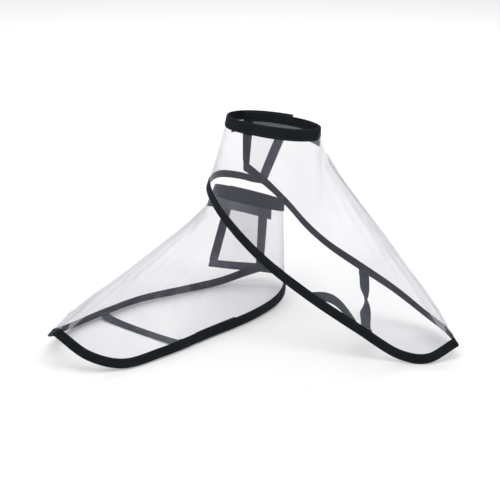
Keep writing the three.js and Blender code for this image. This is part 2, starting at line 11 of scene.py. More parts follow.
import bpy
import numpy as np
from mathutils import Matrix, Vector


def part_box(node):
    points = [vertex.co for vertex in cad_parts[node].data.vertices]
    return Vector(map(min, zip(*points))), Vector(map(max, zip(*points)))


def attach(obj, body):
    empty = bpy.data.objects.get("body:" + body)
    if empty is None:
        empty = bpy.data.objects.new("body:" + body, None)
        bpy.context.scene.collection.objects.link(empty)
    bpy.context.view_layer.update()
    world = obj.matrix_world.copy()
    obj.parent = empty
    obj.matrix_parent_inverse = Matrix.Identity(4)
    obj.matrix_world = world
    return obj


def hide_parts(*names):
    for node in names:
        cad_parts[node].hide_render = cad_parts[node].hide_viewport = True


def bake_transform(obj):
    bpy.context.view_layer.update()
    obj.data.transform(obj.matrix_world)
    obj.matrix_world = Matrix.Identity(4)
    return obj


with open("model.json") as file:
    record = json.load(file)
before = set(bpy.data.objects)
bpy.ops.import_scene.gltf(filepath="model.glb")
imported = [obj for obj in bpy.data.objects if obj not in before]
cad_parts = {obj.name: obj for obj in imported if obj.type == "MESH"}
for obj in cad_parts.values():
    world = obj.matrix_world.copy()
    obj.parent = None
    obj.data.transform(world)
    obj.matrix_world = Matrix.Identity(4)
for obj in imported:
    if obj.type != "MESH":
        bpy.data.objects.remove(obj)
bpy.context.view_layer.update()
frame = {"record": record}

# %% [markdown]
# ## The camera
# It comes first. It stands low in front of the pair and a long way back, with a long lens, so that
# the covers show little perspective.

# %% Camera
CAMERA_ELEVATION = math.radians(23.25)
CAMERA_DISTANCE = 1.325
CAMERA_TARGET = np.array([-0.0022, -0.0022, 0.0840])

camera = bpy.data.cameras.new("camera")
camera.lens = 92.6
camera.sensor_width = 36
camera_object = bpy.data.objects.new("camera", camera)
bpy.context.scene.collection.objects.link(camera_object)
back = np.array([0, -math.cos(CAMERA_ELEVATION), math.sin(CAMERA_ELEVATION)])
camera_object.location = CAMERA_TARGET + back * CAMERA_DISTANCE
camera_object.rotation_euler = (math.pi / 2 - CAMERA_ELEVATION, 0, 0)
bpy.context.scene.camera = camera_object
print("camera at", tuple(round(c, 3) for c in camera_object.location))

# %% [markdown]
# ## The studio
# Clear sheet shows mostly what it reflects and what is behind it, so it wants a pale floor and a few
# large soft lights. A narrow light from behind draws the bright streaks along the folds.

# %% Floor, lights and world
FLOOR_HALF = 4.0
floor_mesh = bpy.data.meshes.new("floor")
floor_mesh.from_pydata(
    [(x * FLOOR_HALF, y * FLOOR_HALF, 0) for x, y in ((-1, -1), (1, -1), (1, 1), (-1, 1))], [], [(0, 1, 2, 3)]
)
floor = bpy.data.objects.new("floor", floor_mesh)
bpy.context.scene.collection.objects.link(floor)
floor_material = bpy.data.materials.new("pale_floor")
floor_material.use_nodes = True
floor_shader = floor_material.node_tree.nodes["Principled BSDF"]
floor_shader.inputs["Base Color"].default_value = (0.97, 0.97, 0.972, 1)
floor_shader.inputs["Roughness"].default_value = 0.9
floor_mesh.materials.append(floor_material)


def soft_light(name, place, target, size, power):
    """An area light at a place, turned to face a target."""
    light = bpy.data.lights.new(name, "AREA")
    light.shape = "RECTANGLE"
    light.size, light.size_y = size
    light.energy = power
    lamp = bpy.data.objects.new(name, light)
    lamp.location = place
    direction = np.array(target) - np.array(place)
    lamp.rotation_euler = (
        math.atan2(math.hypot(direction[0], direction[1]), -direction[2]),
        0,
        math.atan2(direction[1], direction[0]) - math.pi / 2,
    )
    bpy.context.scene.collection.objects.link(lamp)
    return lamp


soft_light("top_light", (0.0, -0.1, 1.6), (0, 0, 0), (1.6, 1.2), 6)
soft_light("left_light", (-1.4, -0.9, 1.0), (0, 0, 0.1), (0.9, 0.9), 5)
soft_light("right_light", (1.5, -0.6, 0.9), (0, 0, 0.1), (0.5, 1.1), 4.2)
soft_light("back_light", (0.1, 1.3, 0.9), (0, 0, 0.1), (1.6, 0.25), 5)

world = bpy.data.worlds.new("studio")
world.use_nodes = True
world.node_tree.nodes["Background"].inputs["Color"].default_value = (1, 1, 1, 1)
world.node_tree.nodes["Background"].inputs["Strength"].default_value = 0.74
bpy.context.scene.world = world
bpy.context.scene.view_settings.view_transform = "Standard"

# %% [markdown]
# ## Sizes
# Millimetres, in each cover's own frame: +X to the toe, +Z up, the side that laps outside towards +Y.
# The two covers are soft and have set a little differently, so each has its own outline. A point of an
# outline is a share of half the cover's length, then millimetres to the side and of lift.

# %% Sizes shared by both covers
COVER_HALF = 150.0
TOE_SPRING = 30.0
COLLAR_HEIGHT = 118.0
COLLAR_HALF_LENGTH = 46.5
COLLAR_HALF_WIDTH = 14.5
SHEET = 0.6
TAPE = 0.8
CLEARANCE = 0.3
SOLE_BINDING_WIDTH = 8.5
BACK_BINDING_WIDTH = 8.5
COLLAR_BINDING_WIDTH = 11.0
SEAM_WIDTH = 8.0
SEAM_CORNER = 20.0
SEAM_PARTING = 1.2
SEAM_TOE_PULL = (117.0, 64.0)
SEAM_COLLAR_PULL = 42.0
LAP_GAP = 4.5
LAPPING_COLLAR_END = 282.0
LAPPED_COLLAR_END = 145.0
HINGE_COLLAR_ANGLE = 150.0
COLLAR_FRONT_REACH = 0.13
FASTENER_HEIGHT = 15.0
HOOK_LENGTH = 48.0
LOOP_LENGTH = 76.0
FASTENER_THICKNESS = 1.0
FASTENER_INSET = 1.0
STRAP_WIDTH = 11.0
STRAP_THICKNESS = 1.2
STRAP_EDGE_RADIUS = 8.0
LOOP_CENTRE = 4.6
BULGE = 5.0

# %% The outline of each cover and where it stands
LEFT = {
    "name": "left",
    "lapping": [
        (1, 0, TOE_SPRING), (0.905, 33, 12), (0.72, 53, 1), (0.4, 58.5, 0), (0, 55.5, 0), (-0.4, 53, 0),
        (-0.69, 43, 1), (-0.845, 29, 3.5), (-0.98, 0, 7), (-0.89, -24, 9), (-0.75, -40, 12), (-0.6, -58, 16),
    ],
    "lapped": [
        (1, 0, TOE_SPRING), (0.905, -33, 12), (0.7, -52, 1), (0.333, -58.5, 0), (0.033, -59, 0),
        (-0.27, -48.5, 0), (-0.6, -38, 0), (-0.76, -31, 4), (-0.865, -11, 15),
    ],
    "hinge_at": -0.83, "collar_at": -0.667, "collar_tilt": 23,
    "strap_at": (0.21, 0.38), "strap_twist": 0,
    "loop_at": (0.11, -0.25), "loop_rise": 0,
    "turn": (0, 0, 220.3), "hand": 1,
}
RIGHT = {
    "name": "right",
    "lapping": [
        (1, 0, TOE_SPRING), (0.905, 27, 12), (0.74, 35.5, 1), (0.4, 41.5, 0), (0, 46, 0), (-0.34, 43.5, 0),
        (-0.63, 32.5, 0), (-0.865, 18, 2), (-1, 0, 3.5), (-1.01, -25, 3), (-0.9, -46, 3), (-0.805, -57, 3),
        (-0.74, -65, 4),
    ],
    "lapped": [
        (1, 0, TOE_SPRING), (0.905, -31.5, 12), (0.73, -48, 1), (0.45, -51, 0), (0.17, -47.5, 0),
        (-0.1, -45.5, 0), (-0.3, -50, 0), (-0.5, -58, 2), (-0.66, -57, 7), (-0.79, -46, 16),
        (-0.885, -33, 25),
    ],
    "hinge_at": -0.86, "collar_at": -0.825, "collar_tilt": 30,
    "strap_at": (0.48, 0.22), "strap_twist": 180,
    "loop_at": (0.4, 0.05), "loop_rise": 11,
    "turn": (7.6, 30.41, -22), "hand": -1,
}

# %% [markdown]
# ## Small helpers
# A curve here is a long list of close points. Everything else asks it for points by running length.

# %% Arrays, easing and curves
def unit(v):
    """Each vector of the last axis divided by its length."""
    return v / np.maximum(np.linalg.norm(v, axis=-1, keepdims=True), 1e-9)


def lerp(a, b, t):
    """The point a share t of the way from a to b."""
    return a + (b - a) * t


def ease(value, start, end):
    """0 before start, 1 after end, and 3t^2 - 2t^3 of the share t between them."""
    t = np.clip((value - start) / (end - start), 0, 1)
    return t * t * (3 - 2 * t)


def running(points):
    """The length along a list of points, from 0 at the first."""
    steps = np.linalg.norm(np.diff(points, axis=0), axis=-1)
    return np.concatenate([[0.0], np.cumsum(steps)])


def at_share(points, share):
    """Points at shares of a curve's length, each coordinate interpolated over the running length."""
    length = running(points)
    return np.stack([np.interp(share * length[-1], length, points[:, k]) for k in range(3)], axis=-1)


def through(points, steps=80):
    """A curve through points: cubic Hermite pieces whose tangents weigh the gaps by their square roots."""
    p = np.array(points, float)
    p = np.vstack([2 * p[0] - p[1], p, 2 * p[-1] - p[-2]])
    before, a, b, after = p[:-3], p[1:-2], p[2:-1], p[3:]
    gap = [np.sqrt(np.linalg.norm(v, axis=1))[:, None] for v in (a - before, b - a, after - b)]
    leave = (a - before) / gap[0] - (b - before) / (gap[0] + gap[1]) + (b - a) / gap[1]
    arrive = (b - a) / gap[1] - (after - a) / (gap[1] + gap[2]) + (after - b) / gap[2]
    t = np.linspace(0, 1, steps, endpoint=False)[:, None, None]
    pieces = (
        (2 * t**3 - 3 * t**2 + 1) * a
        + (t**3 - 2 * t**2 + t) * leave * gap[1]
        + (3 * t**2 - 2 * t**3) * b
        + (t**3 - t**2) * arrive * gap[1]
    )
    return np.vstack([pieces.transpose(1, 0, 2).reshape(-1, 3), p[-2]])


def bezier(a, b, c, d, steps=600):
    """The cubic curve that leaves a towards b and arrives at d from c."""
    t = np.linspace(0, 1, steps)[:, None]
    return (1 - t) ** 3 * a + 3 * (1 - t) ** 2 * t * b + 3 * (1 - t) * t**2 * c + t**3 * d


print("a curve through the left outline has", len(through(LEFT["lapping"])), "points")

# %% [markdown]
# ## One side of a cover
# A side is a ruled sheet: straight lines run from a point on the sole edge up to a point on the front
# seam or, farther back, on the collar. The first parameter u walks along the edge, 0 to 1 along the
# seam, 1 to 2 along the collar and 2 to 3 round the heel. The second, t, climbs a line from 0 to 1.

# %% The rulings of a side
SEAM_COLUMNS = 110
COLLAR_COLUMNS = 66
HEEL_COLUMNS = 60
SEAM_SHARE = 0.95


def collar_rim(shape, lapping, angle):
    """An ellipse tilted about its middle; past the side the lapping sheet's ellipse grows by the lap gap."""
    turned = np.radians(angle)
    grown = LAP_GAP * ease(angle, 100, 165) if lapping else 0.0
    x = (COLLAR_HALF_LENGTH + grown) * np.cos(turned)
    y = (1 if lapping else -1) * (COLLAR_HALF_WIDTH + grown) * np.sin(turned)
    tilt = math.radians(shape["collar_tilt"])
    return np.stack(
        [shape["collar_at"] * COVER_HALF + x * math.cos(tilt), y, COLLAR_HEIGHT + x * math.sin(tilt)], axis=-1
    )


def side_rulings(shape, lapping):
    """The foot and head of every ruling, and each one's share of the sole edge's length."""
    sole = through([(x * COVER_HALF, y, z) for x, y, z in shape["lapping" if lapping else "lapped"]])
    length = running(sole)
    share_of = lambda x: length[np.argmax(sole[:, 0] <= x)] / length[-1]
    front_share = share_of(-COLLAR_FRONT_REACH * COVER_HALF)
    collar_end = LAPPING_COLLAR_END if lapping else LAPPED_COLLAR_END
    hinge_share = share_of(shape["hinge_at"] * COVER_HALF) if lapping else 1.0
    hinge_angle = HINGE_COLLAR_ANGLE if lapping else collar_end
    front = collar_rim(shape, lapping, np.array(0.0))
    tilt = math.radians(shape["collar_tilt"])
    seam = bezier(
        np.array([COVER_HALF, 0, TOE_SPRING]),
        np.array([COVER_HALF - SEAM_TOE_PULL[0], 0, TOE_SPRING + SEAM_TOE_PULL[1]]),
        front + SEAM_COLLAR_PULL * np.array([math.sin(tilt), 0, -math.cos(tilt)]),
        front,
    )
    seam_length = running(seam)[-1]
    seam_from, seam_to = SEAM_CORNER / seam_length, 1 - COLLAR_BINDING_WIDTH / seam_length
    v = np.linspace(0, 1, SEAM_COLUMNS, endpoint=False)
    head = at_share(seam, lerp(seam_from, seam_to, np.minimum(v / SEAM_SHARE, 1)))
    rest = np.clip((v - SEAM_SHARE) / (1 - SEAM_SHARE), 0, 1)[:, None]
    heads, shares = [lerp(head, front, rest)], [front_share * v]
    v = np.linspace(0, 1, COLLAR_COLUMNS + 1)
    shares.append(lerp(front_share, hinge_share, v))
    heads.append(collar_rim(shape, lapping, hinge_angle * v))
    if lapping:
        v = np.linspace(0, 1, HEEL_COLUMNS + 1)[1:]
        shares.append(lerp(hinge_share, 1, v))
        heads.append(collar_rim(shape, lapping, lerp(hinge_angle, collar_end, v)))
    share = np.concatenate(shares)
    return at_share(sole, share), np.concatenate(heads), share


# %% [markdown]
# A real sheet isn't perfectly smooth: it keeps soft waves from its folding. They fade out at the
# edges, where the stiff tape holds the sheet flat.

# %% The sheet's surface
SHEET_ROWS = 41
# Each wave: height in mm, repeats along the edge, repeats up a ruling, and where it starts.
WAVES = ((0.55, 6.0, 1.5, 0.4), (0.35, 11.0, -3.0, 1.9), (0.22, 19.0, 4.0, 0.7))


class Side:
    """One side: its points and outward normals for any shares t up its rulings."""

    def __init__(self, shape, lapping):
        self.sign = 1 if lapping else -1
        self.foot, self.head, self.share = side_rulings(shape, lapping)
        self.columns = len(self.share)
        ruling = self.head - self.foot
        self.height = np.linalg.norm(ruling, axis=1)
        front = SEAM_COLUMNS
        rim = np.gradient(self.head[front:], axis=0)
        rim_and_seam = np.concatenate([np.gradient(self.head[:front], axis=0), rim])
        slant = lambda run: np.linalg.norm(np.cross(unit(ruling), unit(run)), axis=1)
        self.low = SOLE_BINDING_WIDTH / slant(np.gradient(self.foot, axis=0)) / self.height
        self.low = np.minimum(self.low, 0.55)
        width = np.where(np.arange(self.columns) < SEAM_COLUMNS, SEAM_WIDTH, COLLAR_BINDING_WIDTH)
        self.high = width / np.maximum(slant(rim_and_seam), 0.1) / self.height
        self.high = np.minimum(self.high, 0.9 - self.low)

    def points(self, t):
        """Foot plus t of the ruling, plus a belly of sin(pi t) and waves of the share and t."""
        t = np.broadcast_to(t, (self.columns, np.shape(t)[-1]))
        share = self.share[:, None]
        fade = ease(share, 0, 0.15) * (1 - ease(share, 0.45, 0.62))
        dome = np.sin(np.pi * t)
        lift = BULGE * fade * dome
        waves = sum(a * np.sin(2 * np.pi * (f * share + g * t) + h) for a, f, g, h in WAVES)
        lift = lift + waves * dome**2 * ease(share, 0.02, 0.15) * (1 - ease(share, 0.5, 0.65))
        out = np.array([0, self.sign * 0.8, 0.6])
        p = lerp(self.foot[:, None], self.head[:, None], t[..., None]) + lift[..., None] * out
        near_middle = np.arange(self.columns)[:, None] <= SEAM_COLUMNS + 2
        parted = self.sign * np.maximum(self.sign * p[..., 1], SEAM_PARTING / 2)
        p[..., 1] = np.where(near_middle, parted, p[..., 1])
        return p

    def normals(self, t):
        """The cross product of the surface's two slopes, each taken over a small step."""
        t = np.broadcast_to(t, (self.columns, np.shape(t)[-1]))
        step = 0.01
        rise = self.points(np.minimum(t + step, 1)) - self.points(np.maximum(t - step, 0))
        run = np.gradient(self.points(t), axis=0)
        return unit(np.cross(rise, run)) * -self.sign

    def rows(self, t):
        """Points and normals together."""
        return self.points(t), self.normals(t)

    def column_at(self, x):
        """The column, as a decimal number, whose foot passes x."""
        before_hinge = SEAM_COLUMNS + COLLAR_COLUMNS
        return np.interp(-x, -self.foot[:before_hinge, 0], np.arange(before_hinge))


def pick(array, column):
    """Values at decimal columns, by straight interpolation between the two nearest."""
    column = np.clip(column, 0, len(array) - 1.001)
    i = np.floor(column).astype(int)
    blend = (column - i).reshape(-1, *([1] * (array.ndim - 1)))
    return lerp(array[i], array[i + 1], blend)


sides = {}
for shape in (LEFT, RIGHT):
    sides[shape["name"]] = (Side(shape, True), Side(shape, False))
    print(shape["name"], "sides have", [side.columns for side in sides[shape["name"]]], "columns")

# %% [markdown]
# ## From two skins to a closed solid
# Every piece of a cover is a thin slab: an outer skin and an inner skin over the same grid, joined
# round their border. One function closes them, so every piece is a watertight body with real
# thickness. It also stores how far each point lies along and across the piece, for the weave. Where a
# cover stands is read from the frame: the middle of its lapped sheet's box goes where the frame has it.

# %% Slabs
def placed(shape, points):
    """Mirrors a right-hand cover, turns it by roll, pitch and yaw, moves it and changes mm to metres."""
    roll, pitch, yaw = np.radians(shape["turn"])
    about_x = np.array([[1, 0, 0], [0, math.cos(roll), -math.sin(roll)], [0, math.sin(roll), math.cos(roll)]])
    about_y = np.array([[math.cos(pitch), 0, math.sin(pitch)], [0, 1, 0], [-math.sin(pitch), 0, math.cos(pitch)]])
    cos, sin = math.cos(yaw), math.sin(yaw)
    about_z = np.array([[cos, -sin, 0], [sin, cos, 0], [0, 0, 1]])
    hand = points * np.array([1, shape["hand"], 1])
    return hand @ (about_z @ about_y @ about_x).T / 1000 + shape.get("place", np.zeros(3))


for shape in (LEFT, RIGHT):
    lapped = sides[shape["name"]][1]
    own = placed(shape, lapped.points(np.linspace(0, 1, SHEET_ROWS)).reshape(-1, 3))
    low, high = (np.array(corner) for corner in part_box(f"{shape['name']}_lapped_side_panel"))
    shape["place"] = (low + high - own.min(0) - own.max(0)) / 2
    print(shape["name"], "cover stands at", np.round(shape["place"] * 1000, 2), "mm")


def grid_quads(rows, columns, start, flip):
    """Four corners of each cell of a grid whose points are numbered from start."""
    n = start + np.arange(rows * columns).reshape(rows, columns)
    quads = np.stack([n[:-1, :-1], n[:-1, 1:], n[1:, 1:], n[1:, :-1]], axis=-1).reshape(-1, 4)
    return quads[:, ::-1] if flip else quads


def border(rows, columns):
    """The numbers of a grid's border points, once round."""
    n = np.arange(rows * columns).reshape(rows, columns)
    return np.concatenate([n[0, :-1], n[:-1, -1], n[-1, :0:-1], n[:0:-1, 0]])


def slab_arrays(outer, inner):
    """Points, faces and lengths along and across of the solid between two skins of the same grid."""
    rows, columns = outer.shape[:2]
    points = np.concatenate([outer.reshape(-1, 3), inner.reshape(-1, 3)])
    half = rows * columns
    ring = border(rows, columns)
    after = np.roll(ring, -1)
    rim = np.stack([after, ring, ring + half, after + half], axis=-1)
    faces = np.concatenate([grid_quads(rows, columns, 0, False), grid_quads(rows, columns, half, True), rim])
    along = running(outer[:, columns // 2])[:, None] * np.ones((1, columns))
    across = np.ones((rows, 1)) * running(outer[rows // 2])[None]
    lengths = np.stack([along, across, np.zeros_like(along)], axis=-1).reshape(-1, 3)
    return points, faces, np.concatenate([lengths, lengths])


def volume_of(points, faces):
    """Six times the volume that the faces enclose, from their corners' triple products."""
    a, b, c, d = (points[faces[:, k]] for k in range(4))
    return (a * np.cross(b, c)).sum() + (a * np.cross(c, d)).sum()


def make_piece(shape, name, parts, material, body, nodes):
    """Joins parts, turns their faces outwards and puts the result in place of CAD nodes, on a body unless it
    crosses the hinge.
    """
    points, faces, lengths, total = [], [], [], 0
    for part_points, part_faces, part_lengths in parts:
        part_points = placed(shape, part_points)
        if volume_of(part_points, part_faces) < 0:
            part_faces = part_faces[:, ::-1]
        points.append(part_points)
        faces.append(part_faces + total)
        lengths.append(part_lengths)
        total += len(part_points)
    points, faces, lengths = (np.concatenate(group) for group in (points, faces, lengths))
    mesh = bpy.data.meshes.new(name)
    mesh.from_pydata(points, [], faces.tolist())
    mesh.attributes.new("lay", "FLOAT_VECTOR", "POINT").data.foreach_set("vector", lengths.ravel())
    mesh.shade_smooth()
    mesh.set_sharp_from_angle(angle=math.radians(50))
    mesh.materials.append(material)
    piece = bpy.data.objects.new(name, mesh)
    bpy.context.scene.collection.objects.link(piece)
    if nodes:
        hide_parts(*[f"{shape['name']}_{node}" for node in nodes])
    if body == "both":
        bend_over_hinge(shape, piece)
    else:
        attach(piece, f"{shape['name']}_{body}")
    print(f"{name}: {len(points)} points, {len(faces)} faces")
    return piece


# %% [markdown]
# The lapping side bends open on a line beside the heel. A piece that crosses the line belongs to two
# bodies. Here such a piece is not blended over the line and not put on either body: its transform is
# only baked into its mesh.

# %% At the hinge
# Half the width of the bend, in metres, and a direction in the cover's own frame that leads past it.
BEND_HALF = 0.006
PAST_HINGE = np.array([-0.8, -0.6, 0.0])


def bend_over_hinge(shape, piece):
    """Finds the hinge's axis and a direction past it round the heel, then only bakes the piece's transform into
    its mesh.
    """
    name = shape["name"]
    joint = next(j for j in frame["record"]["behaviour"]["joints"] if j["name"] == f"{name}_flap_hinge")
    middle, axis = np.array(joint["pos_m"]), unit(np.array(joint["axis"], float))
    ends = placed(shape, np.array([np.zeros(3), PAST_HINGE]))
    direction = ends[1] - ends[0]
    direction = unit(direction - axis * (direction @ axis)) * BEND_HALF
    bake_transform(piece)


# %% [markdown]
# ## Materials
# Each finish is built from nodes. Patterns on tape read the piece's own "lay" attribute, its
# millimetres along and across, so the ribs follow every bend. Patterns on vinyl read Object
# coordinates, because a sheet has no weave to follow.

# %% Node helpers
class Nodes:
    """A material's node tree with short calls to add and join nodes."""

    def __init__(self, name):
        self.material = bpy.data.materials.new(name)
        self.material.use_nodes = True
        self.tree = self.material.node_tree
        self.shader = self.tree.nodes["Principled BSDF"]

    def add(self, kind, **values):
        node = self.tree.nodes.new(kind)
        for key, value in values.items():
            setattr(node, key, value)
        return node

    def join(self, source, target):
        self.tree.links.new(source, target)

    def math(self, operation, a, b=0.0):
        """One arithmetic step on sockets or numbers."""
        node = self.add("ShaderNodeMath", operation=operation)
        for socket, value in zip(node.inputs, (a, b)):
            if isinstance(value, (int, float)):
                socket.default_value = value
            else:
                self.join(value, socket)
        return node.outputs[0]

    def noise(self, scale, detail=3.0, vector=None):
        node = self.add("ShaderNodeTexNoise")
        node.inputs["Scale"].default_value = scale
        node.inputs["Detail"].default_value = detail
        self.join(vector or self.add("ShaderNodeTexCoord").outputs["Object"], node.inputs["Vector"])
        return node.outputs["Fac"]

    def ramp(self, value, low, high, start=0.3, end=0.7):
        """A number from low to high as value goes from start to end."""
        node = self.add("ShaderNodeMapRange")
        self.join(value, node.inputs["Value"])
        for socket, number in (("From Min", start), ("From Max", end), ("To Min", low), ("To Max", high)):
            node.inputs[socket].default_value = number
        return node.outputs["Result"]

    def colours(self, value, *stops):
        node = self.add("ShaderNodeValToRGB")
        self.join(value, node.inputs["Fac"])
        for element, (place, colour) in zip(node.color_ramp.elements, (stops[0], stops[-1])):
            element.position = place
            element.color = (*colour, 1)
        for place, colour in stops[1:-1]:
            node.color_ramp.elements.new(place).color = (*colour, 1)
        self.join(node.outputs["Color"], self.shader.inputs["Base Color"])

    def bump(self, height, distance, strength=1.0):
        node = self.add("ShaderNodeBump")
        node.inputs["Distance"].default_value = distance
        node.inputs["Strength"].default_value = strength
        self.join(height, node.inputs["Height"])
        self.join(node.outputs["Normal"], self.shader.inputs["Normal"])

    def lay(self):
        """The lengths along and across the piece, in millimetres."""
        attribute = self.add("ShaderNodeAttribute", attribute_name="lay")
        split = self.add("ShaderNodeSeparateXYZ")
        self.join(attribute.outputs["Vector"], split.inputs["Vector"])
        return attribute.outputs["Vector"], split.outputs["X"], split.outputs["Y"]


def wave(nodes, value, pitch):
    """A sine that repeats every pitch, from 0 to 1."""
    turned = nodes.math("SINE", nodes.math("MULTIPLY", value, 2 * math.pi / pitch))
    return nodes.math("ADD", nodes.math("MULTIPLY", turned, 0.5), 0.5)


# %% [markdown]
# ### Clear vinyl
# A sheet this thin hardly bends what is behind it, so it needs no refraction: it is mostly see-through
# and keeps a thin veil of haze, which thickens towards grazing angles as its reflection does.

# %% Clear vinyl
def clear_vinyl(name, tint, veil, grazing):
    """Glossy sheet whose opacity is a veil plus a part that grows as the surface turns edge-on."""
    nodes = Nodes(name)
    shader = nodes.shader
    shader.inputs["IOR"].default_value = 2.0
    shader.inputs["Specular IOR Level"].default_value = 0.6
    weight = nodes.add("ShaderNodeLayerWeight")
    weight.inputs["Blend"].default_value = 0.35
    turned = nodes.math("MULTIPLY", nodes.math("POWER", weight.outputs["Facing"], 3.0), grazing)
    haze = nodes.ramp(nodes.noise(14, 4), veil * 0.75, veil * 1.3)
    nodes.join(nodes.math("MINIMUM", nodes.math("ADD", haze, turned), 0.9), shader.inputs["Alpha"])
    nodes.colours(nodes.noise(22, 2), (0.3, tint), (0.7, tuple(c * 1.06 for c in tint)))
    nodes.join(nodes.ramp(nodes.noise(60, 5), 0.05, 0.16), shader.inputs["Roughness"])
    fine = nodes.math("MULTIPLY", nodes.noise(160, 3), 0.08)
    nodes.bump(nodes.math("ADD", nodes.noise(34, 2), fine), 0.0016, 0.55)
    return nodes.material


VINYL = clear_vinyl("clear_vinyl", (0.30, 0.30, 0.40), 0.062, 0.6)
SEAM_VINYL = clear_vinyl("seam_vinyl", (0.72, 0.72, 0.76), 0.16, 0.45)
print("vinyl:", VINYL.name, SEAM_VINYL.name)

# %% [markdown]
# ### Woven tape, elastic, hook tape and thread
# Binding tape has fine ribs across its width. Elastic has cords along its length. Hook tape is a
# field of tiny hooks, loop tape is a felt of fine fibre.

# %% Woven materials
def woven(name, dark, light, rib, cord, roughness=0.72, depth=0.00022):
    """Ribs every rib mm along, cords every cord mm across, with worn lighter patches."""
    nodes = Nodes(name)
    vector, along, across = nodes.lay()
    cords = nodes.math("MULTIPLY", wave(nodes, across, cord), 0.55)
    weave = nodes.math("ADD", wave(nodes, along, rib), cords)
    fibre = nodes.noise(4.0, 4, vector)
    height = nodes.math("ADD", weave, nodes.math("MULTIPLY", fibre, 0.6))
    nodes.bump(height, depth, 0.9)
    worn = nodes.math("MULTIPLY", nodes.noise(45, 4), 0.6)
    tone = nodes.math("ADD", nodes.math("MULTIPLY", weave, 0.35), worn)
    nodes.colours(tone, (0.25, dark), (0.85, light))
    nodes.join(nodes.ramp(fibre, roughness - 0.1, roughness + 0.12), nodes.shader.inputs["Roughness"])
    nodes.shader.inputs["Specular IOR Level"].default_value = 0.14
    nodes.shader.inputs["Sheen Weight"].default_value = 0.015
    nodes.shader.inputs["Sheen Roughness"].default_value = 0.4
    return nodes.material


def hooked(name, dark, light, pitch, depth):
    """Small round cells every pitch mm, raised at their middles."""
    nodes = Nodes(name)
    vector, _, _ = nodes.lay()
    cells = nodes.add("ShaderNodeTexVoronoi")
    cells.inputs["Scale"].default_value = 1 / pitch
    nodes.join(vector, cells.inputs["Vector"])
    nodes.bump(nodes.math("SUBTRACT", 1.0, cells.outputs["Distance"]), depth, 1.0)
    tone = nodes.math("ADD", cells.outputs["Distance"], nodes.math("MULTIPLY", nodes.noise(60, 3), 0.5))
    nodes.colours(tone, (0.2, light), (1.0, dark))
    nodes.shader.inputs["Roughness"].default_value = 0.85
    nodes.shader.inputs["Specular IOR Level"].default_value = 0.14
    nodes.shader.inputs["Sheen Weight"].default_value = 0.05
    return nodes.material


BINDING = woven("woven_binding", (0.0015, 0.0025, 0.0035), (0.009, 0.013, 0.018), 1.1, 0.9)
ELASTIC = woven("elastic_webbing", (0.008, 0.011, 0.014), (0.045, 0.055, 0.065), 1.4, 1.0, 0.65, 0.0003)
THREAD = woven("sewing_thread", (0.012, 0.013, 0.015), (0.05, 0.052, 0.056), 0.7, 0.4, 0.55, 0.0001)
HOOKS = hooked("hook_tape", (0.012, 0.014, 0.016), (0.055, 0.06, 0.066), 0.75, 0.0004)
# The loop tape's light grey-green is partly its own colour and partly painted sheen: the grey its fibres show
# where light falls on them.
LOOPS = hooked("loop_tape", (0.10, 0.125, 0.125), (0.24, 0.285, 0.28), 0.45, 0.0003)
print("cloth:", [m.name for m in (BINDING, ELASTIC, THREAD, HOOKS, LOOPS)])

# %% [markdown]
# ## The vinyl panels
# Each side is one sheet, from the seam at the toe to its free rear edge. The sheet's middle surface
# is moved half a thickness each way along its normal to give the two skins.

# %% Panels
def sheet(side, thickness=SHEET):
    """The two skins of a side, half a thickness to each side of its middle surface."""
    p, n = side.rows(np.linspace(0, 1, SHEET_ROWS))
    return slab_arrays(p + n * thickness / 2, p - n * thickness / 2)


for shape in (LEFT, RIGHT):
    lapping, lapped = sides[shape["name"]]
    name = shape["name"]
    make_piece(
        shape, f"{name}_lapping_sheet", [sheet(lapping)], VINYL, "both",
        ["lapping_side_panel", "lapping_flap_panel"],
    )
    make_piece(
        shape, f"{name}_lapped_sheet", [sheet(lapped)], VINYL, "cover", ["lapped_side_panel"]
    )

# %% [markdown]
# ## The bindings
# A binding is a flat tape folded over the edge of the sheet: an outer leg, a round fold and an inner
# leg. Its section is drawn once and carried along the edge. On each column the legs lie on the sheet
# at the right height, so the tape follows the sheet however it curves.

# %% Folded tape
LEG_POINTS = 7
FOLD_POINTS = 9
FOLD_SLOT = SHEET / 2 + CLEARANCE
FOLD_OUTER = FOLD_SLOT + TAPE
FOLD_DEPTH = CLEARANCE + TAPE


def folded(p, n):
    """Two skins of a U fold over rows p, n that run from the inner edge of a leg to the sheet's edge."""
    out = unit(p[:, -1] - p[:, -2])[:, None]
    edge, edge_normal = p[:, -1:], n[:, -1:]
    angle = np.linspace(0, np.pi, FOLD_POINTS)[1:-1, None]
    puff = np.sin(np.linspace(0.35, np.pi / 2, p.shape[1]))[:, None] ** 0.5

    def skin(half, depth, shape_of_leg):
        fold = edge + edge_normal * np.cos(angle) * half + out * np.sin(angle) * depth
        leg = n * half * shape_of_leg
        return np.concatenate([p + leg, fold, (p - leg)[:, ::-1]], axis=1)

    return slab_arrays(skin(FOLD_OUTER, FOLD_DEPTH, puff), skin(FOLD_SLOT, CLEARANCE, 1.0))


def sole_rows(side):
    """Rows over the sole binding's leg, from its inner edge down to the sole edge."""
    return side.rows(side.low[:, None] * np.linspace(1, 0, LEG_POINTS))


def collar_rows(side):
    """Rows over the collar binding's leg, from its inner edge up to the rim, behind the seam only."""
    p, n = side.rows(1 - side.high[:, None] * np.linspace(1, 0, LEG_POINTS))
    return p[SEAM_COLUMNS:], n[SEAM_COLUMNS:]


def round_both(rows_of, lapping, lapped):
    """Rows from the lapped side's rear end, through the middle, to the lapping side's rear end."""
    inside, outside = rows_of(lapped), rows_of(lapping)
    return tuple(np.concatenate([a[::-1], b]) for a, b in zip(inside, outside))


